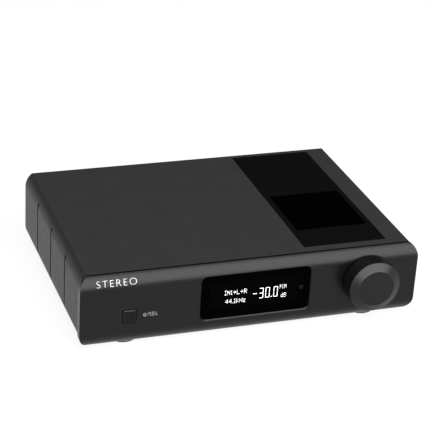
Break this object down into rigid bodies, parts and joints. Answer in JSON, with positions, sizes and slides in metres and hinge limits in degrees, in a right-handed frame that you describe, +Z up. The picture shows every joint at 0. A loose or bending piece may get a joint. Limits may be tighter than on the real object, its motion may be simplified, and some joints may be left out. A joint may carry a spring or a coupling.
{
  "type": "desktop dac",
  "caption": "Low black aluminium desktop digital-to-analogue converter with a display window, square button, turned volume knob, dark glass strip in the roof and rear sockets.",
  "frame": {"origin": "on the ground under the middle of the whole device's box, knob and rear sockets included", "axes": "+X to the right seen from the front (along the width), +Y from the front panel towards the rear sockets, +Z up"},
  "size_m": [0.225, 0.1802, 0.0512],
  "materials": {
    "black_anodised": "fine bead-blasted black anodised aluminium, satin",
    "black_painted_steel": "fine matte black powder coat",
    "black_glass": "polished black glass with a darker see-through area",
    "smoked_window": "polished smoked acrylic",
    "oled_glass": "dark display glass with white figures",
    "black_plastic": "fine-grained black moulding",
    "rubber": "matte black rubber",
    "pale_brass": "pale gold-tinted turned ring",
    "brass_sleeve": "plain turned brass",
    "nickel": "satin nickel plate",
    "gold_plate": "gold plate",
    "tinned_steel": "bright tinned steel",
    "white_plastic": "off-white moulding",
    "red_plastic": "red moulding",
    "circuit_board": "dark green solder mask",
    "blue_sleeve": "shrink sleeve",
    "transformer_tape": "yellow winding tape over copper"
  },
  "bodies": {
    "case": {"base_screw_front_left": "tinned_steel", "base_screw_front_right": "tinned_steel", "base_screw_rear_left": "tinned_steel", "base_screw_rear_right": "tinned_steel", "bottom_plate": "black_painted_steel", "button_switch": "black_plastic", "capacitor": "blue_sleeve", "coaxial_insulator": "black_plastic", "coaxial_socket": "gold_plate", "converter_module": "circuit_board", "display_holder": "black_plastic", "display_lens": "smoked_window", "encoder_body": "tinned_steel", "encoder_nut": "nickel", "foot_pad_front_left": "rubber", "foot_pad_front_right": "rubber", "foot_pad_rear_left": "rubber", "foot_pad_rear_right": "rubber", "foot_ring_front_left": "pale_brass", "foot_ring_front_right": "pale_brass", "foot_ring_rear_left": "pale_brass", "foot_ring_rear_right": "pale_brass", "front_board": "circuit_board", "front_panel": "black_anodised", "ir_receiver": "black_plastic", "link_socket": "tinned_steel", "main_board": "circuit_board", "mains_blades": "nickel", "mains_inlet": "black_plastic", "oled_panel": "oled_glass", "optical_socket": "black_plastic", "power_board": "circuit_board", "power_switch_frame": "black_plastic", "rca_left_insulator": "white_plastic", "rca_left_socket": "gold_plate", "rca_right_insulator": "red_plastic", "rca_right_socket": "gold_plate", "rear_panel": "black_painted_steel", "rear_screw_high_left": "tinned_steel", "rear_screw_high_right": "tinned_steel", "rear_screw_low_left": "tinned_steel", "rear_screw_low_right": "tinned_steel", "ribbon_cable": "white_plastic", "ring_transformer": "transformer_tape", "top_glass": "black_glass", "transformer_bolt": "tinned_steel", "trigger_jacks": "black_plastic", "upper_case": "black_anodised", "usb_socket": "tinned_steel", "xlr_left_pins": "nickel", "xlr_left_shell": "nickel", "xlr_right_pins": "nickel", "xlr_right_shell": "nickel"},
    "power_button": {"power_button": "black_anodised"},
    "volume_press": {"encoder_plunger": "black_plastic"},
    "volume_knob": {"volume_knob": "black_anodised", "knob_sleeve": "brass_sleeve", "encoder_shaft": "nickel"},
    "optical_shutter": {"optical_shutter": "black_plastic"},
    "power_switch_rocker": {"power_switch_rocker": "black_plastic"}
  },
  "joints": [
    {"name": "power_button_slide", "type": "slide", "parent": "case", "child": "power_button", "axis": [0, 1, 0], "range_m": [0, 0.0004], "stiffness_N_per_m": 200},
    {"name": "volume_press_slide", "type": "slide", "parent": "case", "child": "volume_press", "axis": [0, 1, 0], "range_m": [0, 0.0005], "stiffness_N_per_m": 1500},
    {"name": "volume_turn", "type": "hinge", "parent": "volume_press", "child": "volume_knob", "pos_m": [0.0781, -0.07565, 0.03], "axis": [0, 1, 0], "continuous": true},
    {"name": "optical_shutter_pivot", "type": "hinge", "parent": "case", "child": "optical_shutter", "pos_m": [0.018, 0.08005, 0.0219], "axis": [-1, 0, 0], "range_deg": [0, 80], "stiffness_Nm_per_rad": 0.00005},
    {"name": "power_switch_rock", "type": "hinge", "parent": "case", "child": "power_switch_rocker", "pos_m": [-0.066, 0.07925, 0.0274], "axis": [-1, 0, 0], "range_deg": [0, 18]}
  ]
}
